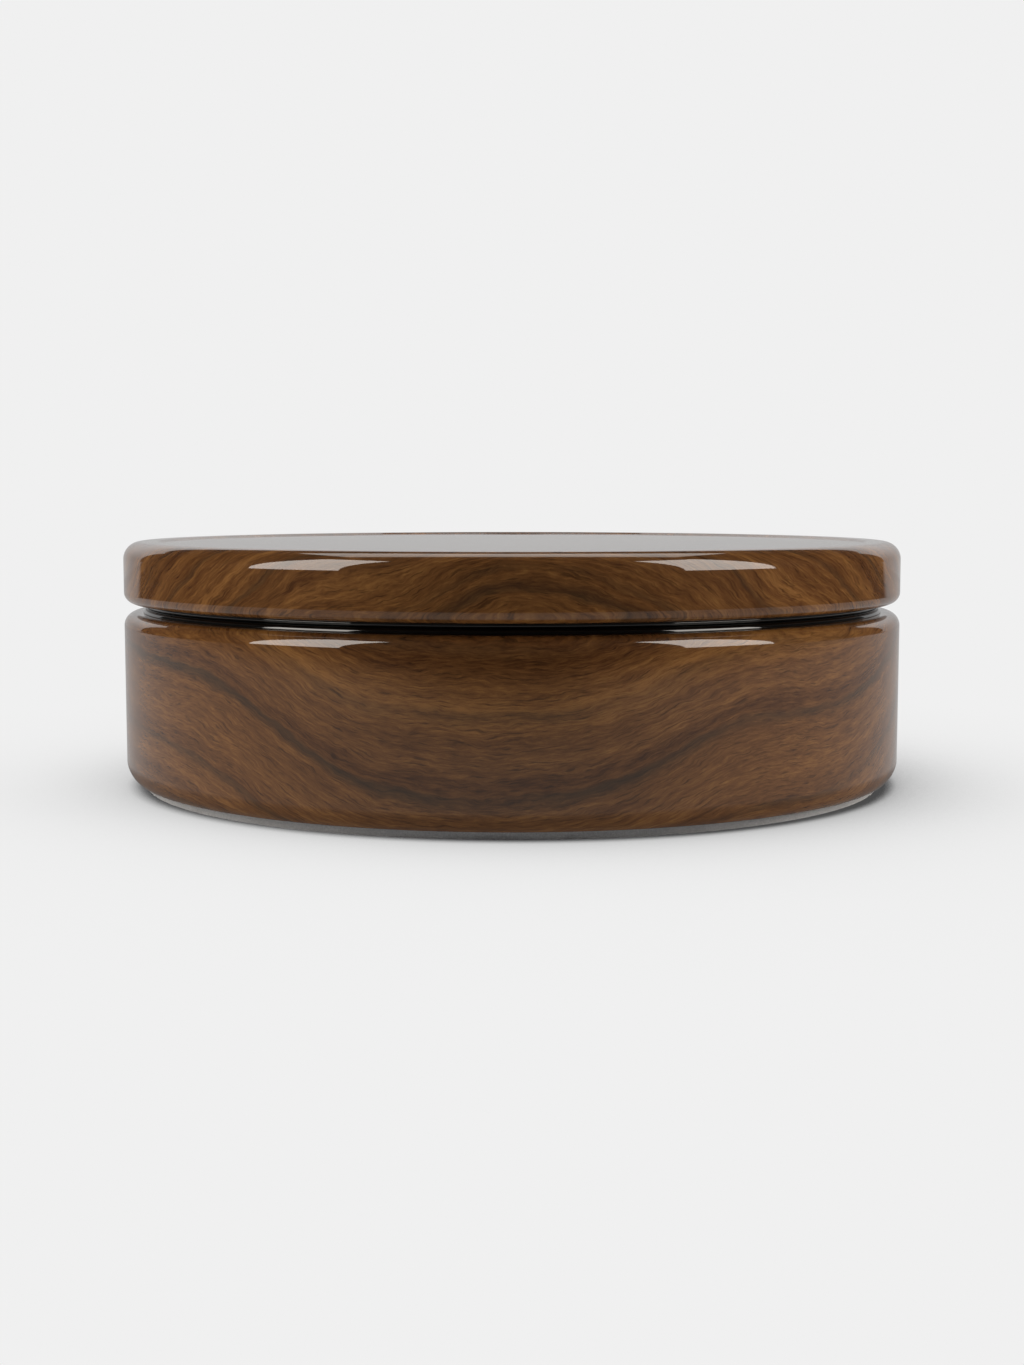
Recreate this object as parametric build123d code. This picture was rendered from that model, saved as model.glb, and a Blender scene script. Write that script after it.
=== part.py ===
from build123d import *
import os

# A lidded wooden shaving bowl, in millimetres. Every piece is turned or moulded round, so each
# one is a half-section revolved about Z. The origin is the middle of the face it stands on.

# ---- Bowl, turned from walnut ----
bowl_r = 55.0            # outside of the bowl's upright wall
bowl_h = 23.3            # wooden bowl alone, from its underside to its rim
bowl_wall = 8.2          # wood between the outside and the bore
bowl_floor = 4.2         # wood left under the bore
rim_round = 1.75         # rounding outside the rim
bore_round = 1.5         # rounding at the foot of the bore
foot_taper = 1.4         # how far the wall draws in at the foot
foot_curve_h = 3.05      # height at which it starts to draw in
foot_edge = 0.4          # rounding on the bottom edge

# ---- Lid, turned from walnut, flush with the bowl ----
lid_h = 8.4              # wooden lid alone
lid_top_round = 2.4      # rounding on the top edge
lid_low_round = 1.45     # rounding on the lower edge
rim_land = 2.2           # flat top of the raised rim, inside the rounding
dish_depth = 0.2         # the top is dished this far below its rim
dish_slope = 0.6         # the dish comes down to that depth over this width
dish_round = 0.4         # rounding at the head and foot of that slope
recess_depth = 2.5       # recess under the lid that takes the insert
recess_round = 0.4       # rounding at the head of that recess

# ---- Liner, a black moulded cup that hangs in the bowl ----
liner_wall = 1.5         # wall and floor
liner_draft = 2.0        # how much narrower the floor is than the mouth
liner_floor_round = 2.6  # inside rounding between wall and floor
liner_flange_t = 0.7     # thickness of the flange that rests on the rim
liner_setback = 0.85     # the flange stands in from the rim's rounding by this much
liner_bead = 0.6         # rounding on the flange's upper edge, at most

# ---- Insert, the black moulding bonded into the lid ----
insert_flange_t = 0.7    # thickness of the flange that closes on the liner
insert_setback = 0.4     # the flange stands in from the liner's flange by this much
insert_plate_t = 1.5     # plate across the recess
skirt_depth = 3.5        # how far the skirt reaches into the liner
groove_wall = 0.9        # wall of the skirt inside the seal's groove
groove_lip = 0.5         # from the closing face down to the groove

# ---- Seal, a silicone ring in the groove round the skirt ----
seal_section = 1.5       # diameter of the ring's section

# ---- Soap and pad ----
soap_round = 1.6         # rounding on the puck's edges
pad_t = 1.1              # felt pad glued under the bowl
pad_inset = 1.3          # how far the pad stands in from the wood's bottom edge

# ---- Moulded edges ----
flange_edge = 0.3        # rounding on the edges of the insert's flange, at most
mould_edge = 0.4         # rounding on the other moulded edges

# ---- Clearances ----
liner_clear = 0.3        # liner to the bore
liner_under_gap = 0.4    # liner's floor to the wood
land_clear = 0.7         # the liner's upright mouth goes on below the skirt by this much
skirt_clear = 0.4        # skirt to the liner's mouth
seal_clear = 0.1         # relaxed seal to the liner's mouth
groove_clear = 0.1       # seal to the groove's sides and bottom
recess_clear = 0.2       # insert to the lid's recess
soap_clear = 0.4         # puck to the rounding at the liner's floor
soap_headroom = 1.9      # puck to the lid's skirt

# ---- Heights above the standing face ----
foot_z = pad_t
rim_z = foot_z + bowl_h
closing_z = rim_z + liner_flange_t
lid_under_z = closing_z + insert_flange_t
lid_top_z = lid_under_z + lid_h
bore_floor_z = foot_z + bowl_floor
liner_under_z = bore_floor_z + liner_under_gap
liner_floor_z = liner_under_z + liner_wall
plate_top_z = lid_under_z + recess_depth
plate_under_z = plate_top_z - insert_plate_t
skirt_low_z = closing_z - skirt_depth
mouth_low_z = skirt_low_z - land_clear
soap_top_z = skirt_low_z - soap_headroom
groove_half = seal_section / 2 + groove_clear
seal_z = closing_z - groove_lip - groove_half

# ---- Radii that follow from a fit ----
lid_r = bowl_r
foot_r = bowl_r - foot_taper
pad_r = foot_r - pad_inset
dish_r = lid_r - lid_top_round - rim_land
bore_r = bowl_r - bowl_wall
liner_outer_r = bore_r - liner_clear
liner_mouth_r = liner_outer_r - liner_wall
liner_floor_r = liner_mouth_r - liner_draft
liner_flange_r = bowl_r - rim_round - liner_setback
insert_flange_r = liner_flange_r - insert_setback
skirt_r = liner_mouth_r - skirt_clear
recess_r = skirt_r + recess_clear
seal_r = liner_mouth_r - seal_clear - seal_section / 2
groove_r = seal_r - groove_half
skirt_inner_r = groove_r - groove_wall
soap_r = liner_floor_r - liner_floor_round - soap_clear

# ---- Foot curve: one arc from the upright wall down to the drawn-in bottom edge ----
foot_corner_h = (foot_curve_h**2 - foot_taper**2) / (2 * foot_curve_h)
foot_tangent = foot_curve_h - foot_corner_h - foot_edge
foot_curve_r = foot_tangent * foot_curve_h / foot_taper

# ---- Flange edges, limited by the flange they round ----
liner_edge = 0.1 * liner_flange_t
liner_bead_r = min(liner_bead, 0.86 * liner_flange_t)
insert_edge = min(flange_edge, 0.45 * insert_flange_t)


def turned(*corners):
    """Revolve a closed half-section about Z. A corner is (radius, height, rounding)."""
    points = [(radius, height) for radius, height, _ in corners]
    roundings = [rounding for _, _, rounding in corners]
    with BuildPart() as piece:
        with BuildSketch(Plane.XZ):
            with BuildLine():
                FilletPolyline(*points, radius=roundings, close=True)
            make_face()
        revolve(axis=Axis.Z)
    return piece.part


def bowl_body():
    return turned(
        (0, foot_z, 0),
        (foot_r, foot_z, foot_edge),
        (bowl_r, foot_z + foot_corner_h, foot_curve_r),
        (bowl_r, rim_z, rim_round),
        (bore_r, rim_z, foot_edge),
        (bore_r, bore_floor_z, bore_round),
        (0, bore_floor_z, 0),
    )


def bowl_liner():
    """Cup with a flange. Its flange is the lower black ring between bowl and lid."""
    return turned(
        (0, liner_under_z, 0),
        (liner_floor_r + liner_wall, liner_under_z, liner_floor_round + liner_wall),
        (liner_outer_r, mouth_low_z, mould_edge),
        (liner_outer_r, rim_z, 0),
        (liner_flange_r, rim_z, liner_edge),
        (liner_flange_r, closing_z, liner_bead_r),
        (liner_mouth_r, closing_z, mould_edge),
        (liner_mouth_r, mouth_low_z, mould_edge),
        (liner_floor_r, liner_floor_z, liner_floor_round),
        (0, liner_floor_z, 0),
    )


def soap_puck():
    return turned(
        (0, liner_floor_z, 0),
        (soap_r, liner_floor_z, soap_round),
        (soap_r, soap_top_z, soap_round),
        (0, soap_top_z, 0),
    )


def base_pad():
    return turned((0, 0, 0), (pad_r, 0, 0), (pad_r, pad_t, 0), (0, pad_t, 0))


def lid_body():
    """Disc with a raised rim round a shallow dish, and a recess below for the insert."""
    return turned(
        (0, plate_top_z, 0),
        (recess_r, plate_top_z, recess_round),
        (recess_r, lid_under_z, 0),
        (lid_r, lid_under_z, lid_low_round),
        (lid_r, lid_top_z, lid_top_round),
        (dish_r, lid_top_z, dish_round),
        (dish_r - dish_slope, lid_top_z - dish_depth, dish_round),
        (0, lid_top_z - dish_depth, 0),
    )


def lid_insert():
    """Plate in the recess, flange under the wood, and the grooved skirt that centres the lid."""
    return turned(
        (0, plate_top_z, 0),
        (skirt_r, plate_top_z, mould_edge),
        (skirt_r, lid_under_z, 0),
        (insert_flange_r, lid_under_z, insert_edge),
        (insert_flange_r, closing_z, insert_edge),
        (skirt_r, closing_z, 0),
        (skirt_r, seal_z + groove_half, 0),
        (groove_r, seal_z + groove_half, 0),
        (groove_r, seal_z - groove_half, 0),
        (skirt_r, seal_z - groove_half, 0),
        (skirt_r, skirt_low_z, mould_edge),
        (skirt_inner_r, skirt_low_z, mould_edge),
        (skirt_inner_r, plate_under_z, mould_edge),
        (0, plate_under_z, 0),
    )


def lid_seal():
    with BuildPart() as piece:
        with BuildSketch(Plane.XZ):
            with Locations((seal_r, seal_z)):
                Circle(seal_section / 2)
        revolve(axis=Axis.Z)
    return piece.part


pieces = {
    "bowl_body": bowl_body,
    "bowl_liner": bowl_liner,
    "soap_puck": soap_puck,
    "base_pad": base_pad,
    "lid_body": lid_body,
    "lid_insert": lid_insert,
    "lid_seal": lid_seal,
}

os.makedirs("parts", exist_ok=True)
for name, make in pieces.items():
    export_step(make(), f"parts/{name}.step")
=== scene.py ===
import math
import bpy
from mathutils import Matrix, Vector


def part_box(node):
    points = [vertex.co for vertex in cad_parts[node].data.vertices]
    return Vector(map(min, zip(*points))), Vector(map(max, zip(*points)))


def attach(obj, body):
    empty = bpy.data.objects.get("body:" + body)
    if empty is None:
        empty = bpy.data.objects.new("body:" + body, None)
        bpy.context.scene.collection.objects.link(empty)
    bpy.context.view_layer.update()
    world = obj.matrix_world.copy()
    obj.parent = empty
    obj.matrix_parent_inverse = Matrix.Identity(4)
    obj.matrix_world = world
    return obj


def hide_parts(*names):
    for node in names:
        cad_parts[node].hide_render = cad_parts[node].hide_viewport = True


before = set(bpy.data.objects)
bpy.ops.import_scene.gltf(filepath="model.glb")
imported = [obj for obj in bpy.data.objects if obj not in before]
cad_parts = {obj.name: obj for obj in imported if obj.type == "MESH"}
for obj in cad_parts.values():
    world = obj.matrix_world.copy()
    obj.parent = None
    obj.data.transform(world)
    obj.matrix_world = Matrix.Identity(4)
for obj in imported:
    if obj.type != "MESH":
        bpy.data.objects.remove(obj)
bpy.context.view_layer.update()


# ---- Base pad ----
# A disc of grey wool felt, die-cut and glued under the bowl so that it doesn't scratch or
# slide. Its cut edge is a little ragged, because the knife pulls fibres out of the felt.

MM = 0.001
AROUND = 288             # corners round every turned piece

pad_low, pad_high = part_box("base_pad")
pad_r = pad_high.x
PAD_FRAY = 0.10 * MM
PAD_EDGE_RINGS = 4


def start_disc(name, radius, height):
    """A filled disc to turn a piece from, left in edit mode with its face selected."""
    bpy.ops.object.select_all(action="DESELECT")
    bpy.ops.mesh.primitive_circle_add(
        vertices=AROUND, radius=radius, fill_type="NGON", location=(0, 0, height)
    )
    piece = bpy.context.object
    piece.name = name
    piece.data.name = name
    bpy.ops.object.transform_apply(location=True, rotation=True, scale=True)
    bpy.ops.object.mode_set(mode="EDIT")
    bpy.ops.mesh.select_all(action="SELECT")
    return piece


def turn(start, path):
    """Carry the selected end face along a half-section of (radius, height) corners."""
    radius, height = start
    for next_radius, next_height in path:
        bpy.ops.mesh.extrude_region_move(
            TRANSFORM_OT_translate={"value": (0, 0, next_height - height)}
        )
        grow = next_radius / radius
        bpy.ops.transform.resize(value=(grow, grow, 1))
        radius, height = next_radius, next_height
    bpy.ops.object.mode_set(mode="OBJECT")


def select_ring(piece, radius, height):
    """Select the edges that run round a piece at one corner of its half-section."""
    mesh = piece.data
    near = []
    for vertex in mesh.vertices:
        off = math.hypot(math.hypot(vertex.co.x, vertex.co.y) - radius, vertex.co.z - height)
        near.append(off < 0.002 * MM)
    for part in (mesh.vertices, mesh.edges, mesh.polygons):
        part.foreach_set("select", [False] * len(part))
    for edge in mesh.edges:
        edge.select = near[edge.vertices[0]] and near[edge.vertices[1]]
    bpy.ops.object.mode_set(mode="EDIT")
    bpy.ops.mesh.select_mode(type="EDGE")


def round_ring(piece, radius, height, reach, steps):
    """Round one corner. Reach is how far the rounding starts from the corner."""
    select_ring(piece, radius, height)
    bpy.ops.mesh.bevel(offset=reach, offset_type="OFFSET", segments=steps, profile=0.5)
    bpy.ops.object.mode_set(mode="OBJECT")


def close_up(piece, sharp_degrees=40):
    """Merge doubles, face the skin outwards, and shade it so that flats stay flat."""
    bpy.ops.object.mode_set(mode="EDIT")
    bpy.ops.mesh.select_mode(type="VERT")
    bpy.ops.mesh.select_all(action="SELECT")
    bpy.ops.mesh.remove_doubles(threshold=0.0005 * MM)
    bpy.ops.mesh.normals_make_consistent(inside=False)
    bpy.ops.object.mode_set(mode="OBJECT")
    bpy.ops.object.shade_smooth_by_angle(angle=math.radians(sharp_degrees))
    bpy.ops.object.modifier_add(type="WEIGHTED_NORMAL")
    piece.modifiers[-1].keep_sharp = True
    bpy.ops.object.modifier_apply(modifier=piece.modifiers[-1].name)


def linear(hex_colour):
    """An sRGB hex colour as the linear RGBA that shaders take."""
    out = []
    for at in (1, 3, 5):
        value = int(hex_colour[at:at + 2], 16) / 255
        out.append(value / 12.92 if value <= 0.04045 else ((value + 0.055) / 1.055) ** 2.4)
    return (*out, 1.0)


def node(tree, kind, values=(), **settings):
    """Add a node with its settings. Values fill input sockets, by link or by number."""
    made = tree.nodes.new(kind)
    for name, setting in settings.items():
        setattr(made, name, setting)
    for socket, value in dict(values).items():
        if isinstance(value, bpy.types.NodeSocket):
            tree.links.new(value, made.inputs[socket])
        else:
            made.inputs[socket].default_value = value
    return made


def new_material(name):
    """A material that holds only a Principled shader, with its tree and that shader."""
    material = bpy.data.materials.new(name)
    material.use_nodes = True
    tree = material.node_tree
    tree.nodes.clear()
    shader = node(tree, "ShaderNodeBsdfPrincipled")
    output = node(tree, "ShaderNodeOutputMaterial")
    tree.links.new(shader.outputs["BSDF"], output.inputs["Surface"])
    return material, tree, shader


def ramp(tree, factor, stops):
    """A colour ramp over factor. Stops are (position, hex colour)."""
    made = node(tree, "ShaderNodeValToRGB", {"Fac": factor})
    bands = made.color_ramp.elements
    while len(bands) < len(stops):
        bands.new(0.5)
    for band, (position, colour) in zip(bands, stops):
        band.position = position
        band.color = linear(colour)
    return made.outputs["Color"]


felt_pad = start_disc("felt_pad", pad_r, pad_low.z)
edge_heights = [pad_high.z * (step + 1) / PAD_EDGE_RINGS for step in range(PAD_EDGE_RINGS)]
turn((pad_r, pad_low.z), [(pad_r, height) for height in edge_heights])
for height in edge_heights[:-1]:
    select_ring(felt_pad, pad_r, height)
    bpy.ops.transform.vertex_random(offset=PAD_FRAY, uniform=0.0, normal=1.0, seed=4)
    bpy.ops.object.mode_set(mode="OBJECT")
close_up(felt_pad)

# Needled wool felt: matted fibres about 0.05 mm thick, drawn four times as coarse so that they
# show. It gives the eye a dull, slightly mottled grey with a soft fuzz of light at its edge.
FELT_FIBRE = 0.2 * MM
felt, tree, shader = new_material("needled_wool_felt")
place = node(tree, "ShaderNodeTexCoord").outputs["Object"]
fibres = node(tree, "ShaderNodeTexNoise", {
    "Vector": place, "Scale": 1 / FELT_FIBRE, "Detail": 4.0, "Roughness": 0.65, "Distortion": 1.5,
}).outputs["Fac"]
tree.links.new(ramp(tree, fibres, [(0.3, "#8c8c8d"), (0.7, "#bababb")]), shader.inputs["Base Color"])
fuzz = node(tree, "ShaderNodeBump", {"Height": fibres, "Strength": 0.6, "Distance": 0.05 * MM})
tree.links.new(fuzz.outputs["Normal"], shader.inputs["Normal"])
shader.inputs["Roughness"].default_value = 0.95
shader.inputs["Sheen Weight"].default_value = 0.3
shader.inputs["Sheen Roughness"].default_value = 0.6
felt_pad.data.materials.append(felt)
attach(felt_pad, "bowl")
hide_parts("base_pad")


# ---- Bowl ----
# One block of walnut, turned with the grain lying flat across it, bored out for the liner, and
# finished with many coats of clear lacquer, flatted and polished to a mirror gloss.

bowl_low, bowl_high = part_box("bowl_body")
bowl_r = bowl_high.x
foot_z = bowl_low.z
rim_z = bowl_high.z
BOWL_WALL = 8.2 * MM
BOWL_FLOOR = 4.2 * MM
FOOT_TAPER = 1.4 * MM
FOOT_CURVE_H = 3.05 * MM
FOOT_EDGE = 0.4 * MM
RIM_ROUND = 1.75 * MM
BORE_ROUND = 1.5 * MM

bore_r = bowl_r - BOWL_WALL
bore_floor_z = foot_z + BOWL_FLOOR
foot_r = bowl_r - FOOT_TAPER
foot_corner_h = (FOOT_CURVE_H**2 - FOOT_TAPER**2) / (2 * FOOT_CURVE_H)
foot_lean = math.atan2(FOOT_TAPER, foot_corner_h)


# Sizes in millimetres along the log, across it and from ring to ring. Walnut's fibres are about
# 0.03 mm thick, so they are drawn about eight times as coarse to show. Its pores are 0.1 to
# 0.2 mm wide, and are drawn at that size.
STREAK_SIZE = (9.0, 7.0, 0.9)
FIBRE_SIZE = (2.6, 2.6, 0.24)
PORE_SIZE = (3.2, 1.8, 0.16)
VEIN_PATCH_SIZE = (14.0, 14.0, 14.0)
LACQUER_WAVE = 6 * MM


def walnut(name, board, tones):
    """Lacquered walnut. Board says how the piece was cut from its log, in millimetres."""
    material, tree, shader = new_material(name)

    def calc(operation, first, second=0.0, third=0.0):
        inputs = {0: first, 1: second, 2: third}
        return node(tree, "ShaderNodeMath", inputs, operation=operation).outputs[0]

    def noise(vector, size, detail, rough):
        stretched = node(tree, "ShaderNodeMapping", {"Vector": vector, "Scale": [1 / mm for mm in size]})
        return node(tree, "ShaderNodeTexNoise", {
            "Vector": stretched.outputs["Vector"], "Scale": 1.0, "Detail": detail, "Roughness": rough,
        }).outputs["Fac"]

    def line_noise(value, size, detail, rough):
        return node(tree, "ShaderNodeTexNoise", {
            "W": value, "Scale": 1 / size, "Detail": detail, "Roughness": rough,
        }, noise_dimensions="1D").outputs["Fac"]

    def fade(value, low, high, at_low, at_high):
        return node(tree, "ShaderNodeMapRange", {"Value": value, 1: low, 2: high, 3: at_low, 4: at_high},
                    interpolation_type="SMOOTHSTEP").outputs[0]

    # Place in the log, in millimetres: X along the fibres, the pith below or above the piece.
    place = node(tree, "ShaderNodeTexCoord").outputs["Object"]
    log = node(tree, "ShaderNodeMapping", {
        "Vector": place, "Scale": (1000.0, 1000.0, 1000.0 * board["up"]),
        "Location": (0.0, 0.0, board["pith"]),
    }).outputs["Vector"]
    across = node(tree, "ShaderNodeVectorMath", {0: log, 1: (0.0, 1.0, 1.0)}, operation="MULTIPLY")
    from_pith = node(tree, "ShaderNodeVectorMath", {0: across.outputs[0]}, operation="LENGTH")
    split = node(tree, "ShaderNodeSeparateXYZ", {0: log})
    along = split.outputs["X"]

    # The rings wave along the log, wander a little everywhere, and ripple from fibre to fibre.
    ring = from_pith.outputs["Value"]
    for height, length, phase in board["waves"]:
        wave = calc("SINE", calc("MULTIPLY_ADD", along, math.tau / length, phase))
        ring = calc("MULTIPLY_ADD", wave, height, ring)
    for height, size in board["ripples"]:
        ring = calc("MULTIPLY_ADD", calc("SUBTRACT", noise(log, size, 2.0, 0.5), 0.5), height, ring)
    laid = node(tree, "ShaderNodeCombineXYZ", {"X": along, "Y": split.outputs["Y"], "Z": ring}).outputs[0]

    # Colour: broad growth bands, year rings, and the fibres, thin streaks laid along the rings.
    tone = calc("MULTIPLY_ADD", line_noise(ring, board["band"], 2.0, 0.5), 0.35, board["tone"])
    tone = calc("MULTIPLY_ADD", line_noise(ring, board["year"], 3.0, 0.6), board["year_weight"], tone)
    tone = calc("MULTIPLY_ADD", noise(laid, STREAK_SIZE, 3.0, 0.6), 0.25, tone)
    tone = calc("MULTIPLY_ADD", noise(laid, FIBRE_SIZE, 3.0, 0.75), board["fibre_weight"], tone)
    body = ramp(tree, tone, tones)

    # Dark strands: open pores filled with lacquer, short and thin, in the same direction.
    strand = noise(laid, PORE_SIZE, 2.0, 0.5)
    depth = fade(strand, 0.3, 0.44, 0.55, 1.0)
    shade = node(tree, "ShaderNodeCombineColor", {0: depth, 1: depth, 2: depth}).outputs[0]
    colour = node(tree, "ShaderNodeMix", {0: 1.0, 6: body, 7: shade}, data_type="RGBA",
                  blend_type="MULTIPLY").outputs[2]

    # Mineral veins: each a grey-brown band at one ring, crisp outwards and fading inwards.
    for at, width, strength in board["veins"]:
        off = calc("DIVIDE", calc("SUBTRACT", ring, at), width)
        band = calc("MULTIPLY", fade(off, -2.4, 0.0, 0.0, 1.0), fade(off, 0.1, 1.1, 1.0, 0.0))
        patchy = fade(noise(log, VEIN_PATCH_SIZE, 2.0, 0.5), 0.3, 0.62, 0.35, 1.0)
        band = calc("MULTIPLY", calc("MULTIPLY", band, patchy), strength)
        colour = node(tree, "ShaderNodeMix", {0: band, 6: colour, 7: linear("#2b241a")},
                      data_type="RGBA").outputs[2]
    tree.links.new(colour, shader.inputs["Base Color"])

    # The wood under the lacquer is satin. The lacquer is a mirror with a faint waviness.
    grain = node(tree, "ShaderNodeBump", {"Height": strand, "Strength": 0.15, "Distance": 0.05 * MM})
    tree.links.new(grain.outputs["Normal"], shader.inputs["Normal"])
    peel = node(tree, "ShaderNodeTexNoise", {"Vector": place, "Scale": 1 / LACQUER_WAVE, "Detail": 2.0})
    skin = node(tree, "ShaderNodeBump", {
        "Height": peel.outputs["Fac"], "Strength": 0.35, "Distance": 0.02 * MM,
    })
    tree.links.new(skin.outputs["Normal"], shader.inputs["Coat Normal"])
    shader.inputs["Roughness"].default_value = 0.45
    shader.inputs["Specular IOR Level"].default_value = 0.02
    shader.inputs["Coat Weight"].default_value = 1.0
    shader.inputs["Coat Roughness"].default_value = 0.025
    shader.inputs["Coat IOR"].default_value = 1.5
    return material


bowl_wood = start_disc("bowl_wood", foot_r, foot_z)
turn((foot_r, foot_z), [
    (bowl_r, foot_z + foot_corner_h),
    (bowl_r, rim_z),
    (bore_r, rim_z),
    (bore_r, bore_floor_z),
])
foot_edge_reach = FOOT_EDGE * math.tan((math.pi / 2 - foot_lean) / 2)
foot_curve_reach = FOOT_CURVE_H - foot_corner_h - FOOT_EDGE
round_ring(bowl_wood, bowl_r, foot_z + foot_corner_h, foot_curve_reach, 20)
round_ring(bowl_wood, foot_r, foot_z, foot_edge_reach, 6)
round_ring(bowl_wood, bowl_r, rim_z, RIM_ROUND, 14)
round_ring(bowl_wood, bore_r, rim_z, FOOT_EDGE, 6)
round_ring(bowl_wood, bore_r, bore_floor_z, BORE_ROUND, 6)
close_up(bowl_wood)

# The bowl's board was cut above the pith, so its rings sag across the front.
BOWL_BOARD = {
    "up": 1.0, "pith": 61.9,
    "waves": [(-2.62, 46.4, -0.76), (2.0, 37.5, -0.7)],
    "ripples": [(1.6, (26.0, 18.0, 14.0)), (1.3, (7.0, 6.0, 3.0)), (0.5, (2.4, 2.4, 1.0))],
    "tone": -0.13, "band": 7.0, "year": 1.4, "year_weight": 0.18, "fibre_weight": 0.6,
    "veins": [(87.3, 0.6, 0.62), (95.0, 0.7, 0.3), (77.6, 0.5, 0.4), (101.5, 0.6, 0.25), (71.0, 0.5, 0.3)],
}
WALNUT_TONES = [(0.25, "#301c0b"), (0.42, "#4b2d15"), (0.58, "#644121"), (0.75, "#82592f")]
bowl_wood.data.materials.append(walnut("lacquered_walnut_bowl", BOWL_BOARD, WALNUT_TONES))
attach(bowl_wood, "bowl")
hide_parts("bowl_body")


# ---- Liner ----
# A cup injection-moulded in black ABS that drops into the bore and is glued there. Its flange
# covers the top of the wooden rim, and its rounded edge is the lower black bead under the lid.

liner_low, liner_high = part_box("bowl_liner")
liner_flange_r = liner_high.x
closing_z = liner_high.z
LINER_CLEAR = 0.3 * MM
LINER_WALL = 1.5 * MM
LINER_DRAFT = 2.0 * MM
LINER_FLOOR_ROUND = 2.6 * MM
LINER_LAND = 4.2 * MM
BEAD_LOW_EDGE = 0.07 * MM
BEAD = 0.6 * MM
MOULD_EDGE = 0.4 * MM

liner_outer_r = bore_r - LINER_CLEAR
mouth_r = liner_outer_r - LINER_WALL
liner_floor_r = mouth_r - LINER_DRAFT
mouth_low_z = closing_z - LINER_LAND
liner_floor_z = liner_low.z + LINER_WALL
draft_lean = math.atan2(LINER_DRAFT, mouth_low_z - liner_floor_z)
floor_turn = math.tan((math.pi / 2 - draft_lean) / 2)

liner_cup = start_disc("liner_cup", liner_floor_r + LINER_WALL, liner_low.z)
turn((liner_floor_r + LINER_WALL, liner_low.z), [
    (liner_outer_r, mouth_low_z),
    (liner_outer_r, rim_z),
    (liner_flange_r, rim_z),
    (liner_flange_r, closing_z),
    (mouth_r, closing_z),
    (mouth_r, mouth_low_z),
    (liner_floor_r, liner_floor_z),
])
outer_floor_round = (LINER_FLOOR_ROUND + LINER_WALL) * floor_turn
round_ring(liner_cup, liner_floor_r + LINER_WALL, liner_low.z, outer_floor_round, 8)
round_ring(liner_cup, liner_flange_r, rim_z, BEAD_LOW_EDGE, 3)
round_ring(liner_cup, liner_flange_r, closing_z, BEAD, 12)
round_ring(liner_cup, mouth_r, closing_z, MOULD_EDGE, 6)
round_ring(liner_cup, mouth_r, mouth_low_z, MOULD_EDGE, 4)
round_ring(liner_cup, liner_floor_r, liner_floor_z, LINER_FLOOR_ROUND * floor_turn, 10)
close_up(liner_cup)

# Black ABS from a polished mould: a deep, nearly black gloss, broken only by a very slight
# unevenness where the plastic shrank as it cooled, a few millimetres across.
SHRINK_SIZE = 4 * MM
abs_black, tree, shader = new_material("polished_black_abs")
place = node(tree, "ShaderNodeTexCoord").outputs["Object"]
shrink = node(tree, "ShaderNodeTexNoise", {
    "Vector": place, "Scale": 1 / SHRINK_SIZE, "Detail": 1.0,
}).outputs["Fac"]
tree.links.new(ramp(tree, shrink, [(0.3, "#0b0a09"), (0.7, "#13110f")]), shader.inputs["Base Color"])
sink = node(tree, "ShaderNodeBump", {"Height": shrink, "Strength": 0.3, "Distance": 0.01 * MM})
tree.links.new(sink.outputs["Normal"], shader.inputs["Normal"])
shader.inputs["Roughness"].default_value = 0.06
shader.inputs["IOR"].default_value = 1.54
liner_cup.data.materials.append(abs_black)
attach(liner_cup, "bowl")
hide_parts("bowl_liner")


# ---- Soap ----
# A puck of hard milled shaving soap, pressed in a die that leaves a raised border round a
# slightly hollow face. It lies loose on the floor of the liner.

soap_low, soap_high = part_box("soap_puck")
soap_r = soap_high.x
SOAP_ROUND = 1.6 * MM
SOAP_BORDER = 4.0 * MM
SOAP_STEP = 0.5 * MM
SOAP_HOLLOW = 0.25 * MM

soap_cake = start_disc("soap_cake", soap_r, soap_low.z)
border_r = soap_r - SOAP_BORDER
face_r = border_r - SOAP_STEP
face_z = soap_high.z - SOAP_STEP
turn((soap_r, soap_low.z), [
    (soap_r, soap_high.z),
    (border_r, soap_high.z),
    (face_r, face_z),
    (face_r * 0.66, face_z - SOAP_HOLLOW * 0.7),
    (face_r * 0.33, face_z - SOAP_HOLLOW),
])
round_ring(soap_cake, soap_r, soap_low.z, SOAP_ROUND, 6)
round_ring(soap_cake, soap_r, soap_high.z, SOAP_ROUND, 8)
round_ring(soap_cake, border_r, soap_high.z, SOAP_STEP * 0.5, 4)
round_ring(soap_cake, face_r, face_z, SOAP_STEP * 0.4, 4)
close_up(soap_cake)

# Triple-milled tallow soap: waxy and slightly see-through at its edges, ivory with faint paler
# marbling from the mill, and a fine dry bloom that dulls its shine.
MARBLING_SIZE = 14 * MM
BLOOM_SIZE = 0.6 * MM
soap, tree, shader = new_material("milled_tallow_soap")
place = node(tree, "ShaderNodeTexCoord").outputs["Object"]
marbling = node(tree, "ShaderNodeTexNoise", {
    "Vector": place, "Scale": 1 / MARBLING_SIZE, "Detail": 5.0, "Roughness": 0.6, "Distortion": 1.8,
}).outputs["Fac"]
bloom = node(tree, "ShaderNodeTexNoise", {
    "Vector": place, "Scale": 1 / BLOOM_SIZE, "Detail": 3.0,
}).outputs["Fac"]
tree.links.new(ramp(tree, marbling, [(0.3, "#e6dcc2"), (0.7, "#f4eedd")]), shader.inputs["Base Color"])
dull = node(tree, "ShaderNodeMapRange", {"Value": bloom, 1: 0.3, 2: 0.7, 3: 0.38, 4: 0.6})
tree.links.new(dull.outputs[0], shader.inputs["Roughness"])
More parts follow.
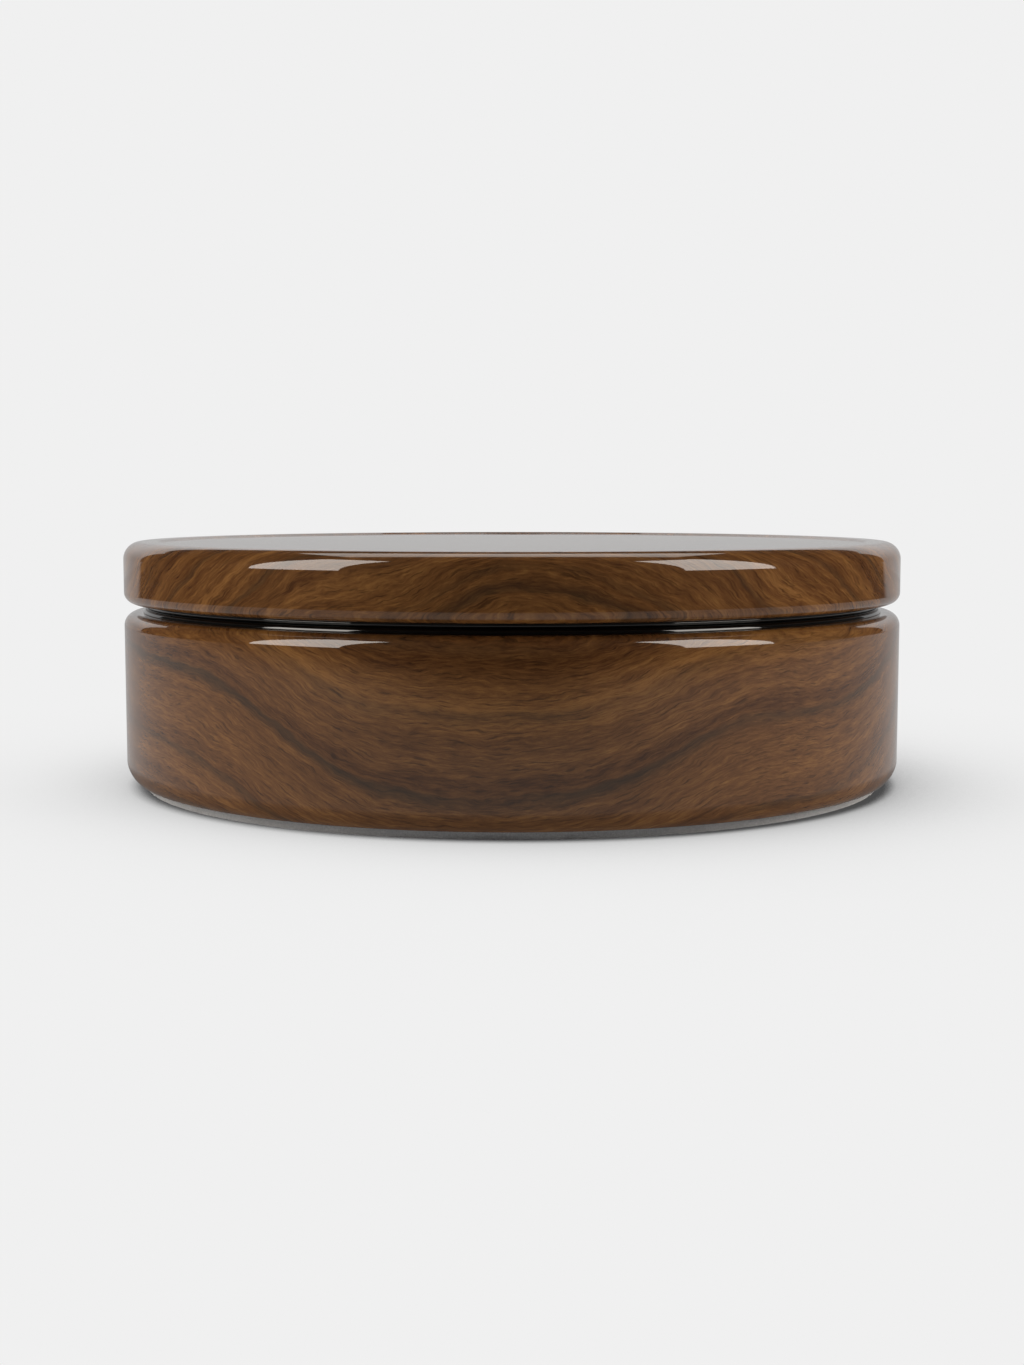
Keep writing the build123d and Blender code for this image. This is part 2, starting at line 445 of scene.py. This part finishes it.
crumb = node(tree, "ShaderNodeBump", {"Height": bloom, "Strength": 0.25, "Distance": 0.04 * MM})
tree.links.new(crumb.outputs["Normal"], shader.inputs["Normal"])
shader.inputs["Subsurface Weight"].default_value = 0.25
shader.inputs["Subsurface Radius"].default_value = (1.0, 0.7, 0.45)
shader.inputs["Subsurface Scale"].default_value = 2.0 * MM
soap_cake.data.materials.append(soap)
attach(soap_cake, "bowl")
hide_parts("soap_puck")


# ---- Lid insert ----
# The lid's black ABS moulding: a plate glued into the recess under the wood, a flange that
# closes on the liner's, and a skirt with a groove for the seal, which centres the lid.

insert_low, insert_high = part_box("lid_insert")
seal_low, seal_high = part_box("lid_seal")
insert_flange_r = insert_high.x
SKIRT_CLEAR = 0.4 * MM
GROOVE_CLEAR = 0.1 * MM
GROOVE_WALL = 0.9 * MM
PLATE_T = 1.5 * MM
RECESS_DEPTH = 2.5 * MM
FLANGE_EDGE = 0.3 * MM

plate_top_z = insert_high.z
lid_under_z = plate_top_z - RECESS_DEPTH
skirt_r = mouth_r - SKIRT_CLEAR
groove_top_z = seal_high.z + GROOVE_CLEAR
groove_low_z = seal_low.z - GROOVE_CLEAR
groove_r = seal_high.x - (seal_high.z - seal_low.z) - GROOVE_CLEAR
skirt_inner_r = groove_r - GROOVE_WALL
plate_under_z = plate_top_z - PLATE_T

lid_moulding = start_disc("lid_moulding", skirt_r, plate_top_z)
turn((skirt_r, plate_top_z), [
    (skirt_r, lid_under_z),
    (insert_flange_r, lid_under_z),
    (insert_flange_r, closing_z),
    (skirt_r, closing_z),
    (skirt_r, groove_top_z),
    (groove_r, groove_top_z),
    (groove_r, groove_low_z),
    (skirt_r, groove_low_z),
    (skirt_r, insert_low.z),
    (skirt_inner_r, insert_low.z),
    (skirt_inner_r, plate_under_z),
])
round_ring(lid_moulding, skirt_r, plate_top_z, MOULD_EDGE, 4)
round_ring(lid_moulding, insert_flange_r, lid_under_z, FLANGE_EDGE, 6)
round_ring(lid_moulding, insert_flange_r, closing_z, FLANGE_EDGE, 6)
round_ring(lid_moulding, skirt_r, insert_low.z, MOULD_EDGE, 6)
round_ring(lid_moulding, skirt_inner_r, insert_low.z, MOULD_EDGE, 6)
round_ring(lid_moulding, skirt_inner_r, plate_under_z, MOULD_EDGE, 6)
close_up(lid_moulding)
lid_moulding.data.materials.append(abs_black)
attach(lid_moulding, "lid")
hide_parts("lid_insert")


# ---- Seal ----
# A ring of black silicone, moulded in two halves and snapped into the groove round the skirt.
# The parting of its mould leaves a fine line round its outside.

SEAL_LINE = 0.04 * MM
seal_half = (seal_high.z - seal_low.z) / 2
bpy.ops.object.select_all(action="DESELECT")
bpy.ops.mesh.primitive_torus_add(
    location=(0, 0, (seal_low.z + seal_high.z) / 2), major_segments=AROUND, minor_segments=24,
    major_radius=seal_high.x - seal_half, minor_radius=seal_half,
)
seal_ring = bpy.context.object
seal_ring.name = "seal_ring"
seal_ring.data.name = "seal_ring"
bpy.ops.object.transform_apply(location=True, rotation=True, scale=True)
select_ring(seal_ring, seal_high.x, (seal_low.z + seal_high.z) / 2)
bpy.ops.mesh.bevel(offset=SEAL_LINE, offset_type="OFFSET", segments=2, profile=1.0)
bpy.ops.object.mode_set(mode="OBJECT")
close_up(seal_ring, 60)

# Silicone rubber as moulded: near black, with the soft satin of a sandblasted mould and a trace
# of dust that always clings to it.
DUST_SIZE = 0.5 * MM
silicone, tree, shader = new_material("moulded_silicone_rubber")
place = node(tree, "ShaderNodeTexCoord").outputs["Object"]
dust = node(tree, "ShaderNodeTexNoise", {
    "Vector": place, "Scale": 1 / DUST_SIZE, "Detail": 4.0,
}).outputs["Fac"]
tree.links.new(ramp(tree, dust, [(0.35, "#1c1c1c"), (0.75, "#2a2a2a")]), shader.inputs["Base Color"])
blasted = node(tree, "ShaderNodeBump", {"Height": dust, "Strength": 0.2, "Distance": 0.02 * MM})
tree.links.new(blasted.outputs["Normal"], shader.inputs["Normal"])
shader.inputs["Roughness"].default_value = 0.5
shader.inputs["IOR"].default_value = 1.41
seal_ring.data.materials.append(silicone)
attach(seal_ring, "seal")
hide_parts("lid_seal")


# ---- Lid ----
# A walnut disc turned from another board, flush with the bowl. Its top is dished 0.2 mm
# inside a raised rim, and the recess below holds the moulding, glued in.

lid_low, lid_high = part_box("lid_body")
lid_r = lid_high.x
lid_top_z = lid_high.z
LID_TOP_ROUND = 2.4 * MM
LID_LOW_ROUND = 1.45 * MM
RIM_LAND = 2.2 * MM
DISH_DEPTH = 0.2 * MM
DISH_SLOPE = 0.6 * MM
DISH_ROUND = 0.4 * MM
RECESS_CLEAR = 0.2 * MM

recess_r = skirt_r + RECESS_CLEAR
dish_r = lid_r - LID_TOP_ROUND - RIM_LAND

lid_wood = start_disc("lid_wood", recess_r, plate_top_z)
turn((recess_r, plate_top_z), [
    (recess_r, lid_low.z),
    (lid_r, lid_low.z),
    (lid_r, lid_top_z),
    (dish_r, lid_top_z),
    (dish_r - DISH_SLOPE, lid_top_z - DISH_DEPTH),
])
dish_reach = DISH_ROUND * math.tan(math.atan2(DISH_DEPTH, DISH_SLOPE) / 2)
round_ring(lid_wood, recess_r, plate_top_z, MOULD_EDGE, 4)
round_ring(lid_wood, lid_r, lid_low.z, LID_LOW_ROUND, 12)
round_ring(lid_wood, lid_r, lid_top_z, LID_TOP_ROUND, 18)
round_ring(lid_wood, dish_r, lid_top_z, dish_reach, 4)
round_ring(lid_wood, dish_r - DISH_SLOPE, lid_top_z - DISH_DEPTH, dish_reach, 4)
close_up(lid_wood)

# The lid's board was cut below the pith, so its rings arch across the front.
LID_BOARD = {
    "up": -1.0, "pith": 69.0,
    "waves": [(0.7, 41.0, 0.6), (0.4, 23.0, 2.0)],
    "ripples": [(2.0, (26.0, 18.0, 14.0)), (1.0, (7.0, 6.0, 3.0)), (0.4, (2.4, 2.4, 1.0))],
    "tone": -0.17, "band": 6.0, "year": 1.5, "year_weight": 0.24, "fibre_weight": 0.6,
    "veins": [(68.2, 0.5, 0.5), (66.6, 0.35, 0.35), (60.5, 0.3, 0.45), (54.0, 0.35, 0.4),
              (48.5, 0.3, 0.45), (42.5, 0.35, 0.4)],
}
lid_wood.data.materials.append(walnut("lacquered_walnut_lid", LID_BOARD, WALNUT_TONES))
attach(lid_wood, "lid")
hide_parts("lid_body")


# ---- Studio ----
# A small white table under the bowl in a dark room: two upright softboxes at the sides towards
# the front, a soft light overhead, and a white board standing behind. Table and board glow instead of
# being lit.

PAPER = linear("#f0f0f0")


def stage_material(name):
    """An empty material tree with its output, for what isn't part of the object."""
    material = bpy.data.materials.new(name)
    material.use_nodes = True
    material.node_tree.nodes.clear()
    return material, material.node_tree, node(material.node_tree, "ShaderNodeOutputMaterial")


# The table is a round white top, a little behind the bowl's middle. It glows instead of being lit. Its
# painted shadow is drawn from how near the object is, not cast by the lights, and fades outwards to the
# plain colour of the room.
# The lacquer sees a painted reflection of the table: a paler glowing disc that ends at its edge, with
# painted shade round the bowl's foot, darker towards the front, and a painted glow behind in the light of
# the board.
TABLE_R = 0.34
TABLE_Y = 0.1
SHADE_FROM = 0.11
SHADE_TO = 0.18
bpy.ops.object.select_all(action="DESELECT")
bpy.ops.mesh.primitive_plane_add(size=6.0, location=(0, 0, 0))
table = bpy.context.object
table.name = "table"
paper, tree, output = stage_material("paper_with_painted_shadow")


def smooth(value, low, high, at_low, at_high):
    """A soft step between two values, on the stage's trees."""
    return node(tree, "ShaderNodeMapRange", {"Value": value, 1: low, 2: high, 3: at_low, 4: at_high},
                interpolation_type="SMOOTHSTEP").outputs[0]


def distance_from(point):
    """Distance of the shaded place from a point."""
    return node(tree, "ShaderNodeVectorMath", {0: place, 1: point}, operation="DISTANCE").outputs["Value"]


def combine(operation, first, second):
    return node(tree, "ShaderNodeMath", {0: first, 1: second}, operation=operation).outputs[0]


place = node(tree, "ShaderNodeTexCoord").outputs["Object"]
axes = node(tree, "ShaderNodeSeparateXYZ", {0: place}).outputs
from_middle = distance_from((0, 0, 0))
# Painted shadow: darkness from nearby occlusion, deeper at the sides (most on the right) and lighter in
# front.
hidden = node(tree, "ShaderNodeAmbientOcclusion", {"Distance": 0.07}, samples=12).outputs["AO"]
hidden = combine("SUBTRACT", 1.0, hidden)
sideways = smooth(axes["X"], -0.05, 0.05, 1.15, 1.45)
sideways = combine("MULTIPLY", sideways, smooth(axes["Y"], -0.06, -0.02, 0.88, 1.0))
hidden = combine("MULTIPLY", hidden, sideways)
shadow = combine("SUBTRACT", 1.0, combine("MULTIPLY", hidden, hidden))
shadow = combine("MAXIMUM", shadow, 0.08)
shadow = combine("MAXIMUM", shadow, smooth(from_middle, SHADE_FROM, SHADE_TO, 0.0, 1.0))
seen = node(tree, "ShaderNodeEmission", {"Color": PAPER, "Strength": shadow}).outputs[0]
# Painted reflection: what mirrors see of the table is a glow, with painted shade near the bowl and towards
# the front.
top = smooth(distance_from((0, TABLE_Y, 0)), TABLE_R - 0.06, TABLE_R + 0.06, 0.46, 0.02)
painted_shade_near_bowl = smooth(from_middle, 0.054, 0.066, 0.3, 1.0)
front_dark = smooth(distance_from((0, -0.27, 0)), 0.03, 0.2, 0.35, 1.0)
top = combine("MULTIPLY", combine("MULTIPLY", top, painted_shade_near_bowl), front_dark)
behind = combine("SUBTRACT", axes["Y"], combine("MULTIPLY", combine("ABSOLUTE", axes["X"], 0.0), 0.9))
far_light = combine("MULTIPLY", smooth(behind, -0.03, 0.03, 0.0, 0.45), painted_shade_near_bowl)
mirrored = node(tree, "ShaderNodeEmission", {"Strength": combine("MAXIMUM", top, far_light)}).outputs[0]
rays = node(tree, "ShaderNodeLightPath")
chosen = node(tree, "ShaderNodeMixShader", {0: rays.outputs["Is Glossy Ray"], 1: seen, 2: mirrored})
tree.links.new(chosen.outputs[0], output.inputs["Surface"])
table.data.materials.append(paper)

# The board behind is seen as the plain room. To mirrors and lights it glows as a card of painted light, a
# soft grey that brightens upwards.
BOARD_Y = 0.6
BOARD_HALF = 0.66
BOARD_TOP = 0.42
bpy.ops.object.select_all(action="DESELECT")
bpy.ops.mesh.primitive_plane_add(
    size=1.0, location=(0, BOARD_Y, BOARD_TOP / 2), rotation=(math.pi / 2, 0, 0)
)
board = bpy.context.object
board.name = "back_board"
board.scale = (2 * BOARD_HALF, BOARD_TOP, 1)
bpy.ops.object.transform_apply(location=True, rotation=True, scale=True)
card, tree, output = stage_material("glowing_white_card")
place = node(tree, "ShaderNodeTexCoord").outputs["Object"]
height = node(tree, "ShaderNodeSeparateXYZ", {0: place}).outputs["Z"]
glow = smooth(height, 0.06, 0.3, 0.52, 0.95)
grey = node(tree, "ShaderNodeEmission", {"Strength": glow}).outputs[0]
plain = node(tree, "ShaderNodeEmission", {"Color": PAPER}).outputs[0]
rays = node(tree, "ShaderNodeLightPath")
chosen = node(tree, "ShaderNodeMixShader", {0: rays.outputs["Is Camera Ray"], 1: grey, 2: plain})
tree.links.new(chosen.outputs[0], output.inputs["Surface"])
board.data.materials.append(card)

# The room is the plain colour to the eye and dark to the lights and mirrors, but for a low band of
# light at the sides and the back, which only a second mirror image picks up.
world = bpy.data.worlds.new("room")
bpy.context.scene.world = world
world.use_nodes = True
tree = world.node_tree
tree.nodes.clear()
output = node(tree, "ShaderNodeOutputWorld")
rays = node(tree, "ShaderNodeLightPath")
plain = node(tree, "ShaderNodeBackground", {"Color": PAPER}).outputs[0]
outwards = node(tree, "ShaderNodeTexCoord").outputs["Generated"]
direction = node(tree, "ShaderNodeSeparateXYZ", {0: outwards}).outputs
low_glow = smooth(direction["Z"], 0.05, 0.13, 0.5, 0.0)
low_glow = combine("MULTIPLY", low_glow, combine("GREATER_THAN", rays.outputs["Glossy Depth"], 1.5))
sides_and_back = smooth(direction["Y"], -0.3, -0.12, 0.0, 1.0)
glow = combine("MAXIMUM", combine("MULTIPLY", low_glow, sides_and_back), 0.03)
dark = node(tree, "ShaderNodeBackground", {"Strength": glow}).outputs[0]
chosen = node(tree, "ShaderNodeMixShader", {0: rays.outputs["Is Camera Ray"], 1: dark, 2: plain})
tree.links.new(chosen.outputs[0], output.inputs["Surface"])


def softbox(name, place, aim, width, length, radiance, mirrored=True, lights=True):
    """A rectangular area light that faces aim. Radiance is how bright its cloth looks."""
    bpy.ops.object.light_add(type="AREA", location=place)
    lamp = bpy.context.object
    lamp.name = name
    lamp.rotation_euler = (Vector(aim) - Vector(place)).to_track_quat("-Z", "Y").to_euler()
    lamp.data.shape = "RECTANGLE"
    lamp.data.size = width
    lamp.data.size_y = length
    lamp.data.energy = radiance * math.pi * width * length
    lamp.data.color = (1.0, 0.94, 0.87)
    lamp.visible_camera = False
    lamp.visible_glossy = mirrored
    lamp.visible_diffuse = lights


SIDE_ANGLE = math.radians(61.6)
SIDE_DISTANCE = 0.8
SIDE_LOW = 0.055
SIDE_HIGH = 1.15
SIDE_WIDTH = 0.415
WASH_ANGLE = math.radians(84)
WASH_HEIGHT = 0.3
WASH_SIZE = 0.5
for side in (-1, 1):
    x = side * SIDE_DISTANCE * math.sin(SIDE_ANGLE)
    y = -SIDE_DISTANCE * math.cos(SIDE_ANGLE)
    z = (SIDE_LOW + SIDE_HIGH) / 2
    softbox("side_light", (x, y, z), (0, 0, z), SIDE_WIDTH, SIDE_HIGH - SIDE_LOW, 7.3, lights=False)
    x = side * SIDE_DISTANCE * math.sin(WASH_ANGLE)
    y = -SIDE_DISTANCE * math.cos(WASH_ANGLE)
    softbox("side_wash", (x, y, WASH_HEIGHT), (0, 0, 0.02), WASH_SIZE, WASH_SIZE, 8.0, mirrored=False)
softbox("top_light", (0, 0.3, 0.93), (0, 0.3, 0), 0.9, 0.54, 3.0)

bpy.ops.object.camera_add(location=(0, -0.275, 0.04125), rotation=(math.radians(90 - 5.76), 0, 0))
camera = bpy.context.object
camera.data.sensor_width = 36.0
camera.data.lens = 50.16
camera.data.clip_start = 0.01
bpy.context.scene.camera = camera
bpy.context.scene.view_settings.view_transform = "Standard"
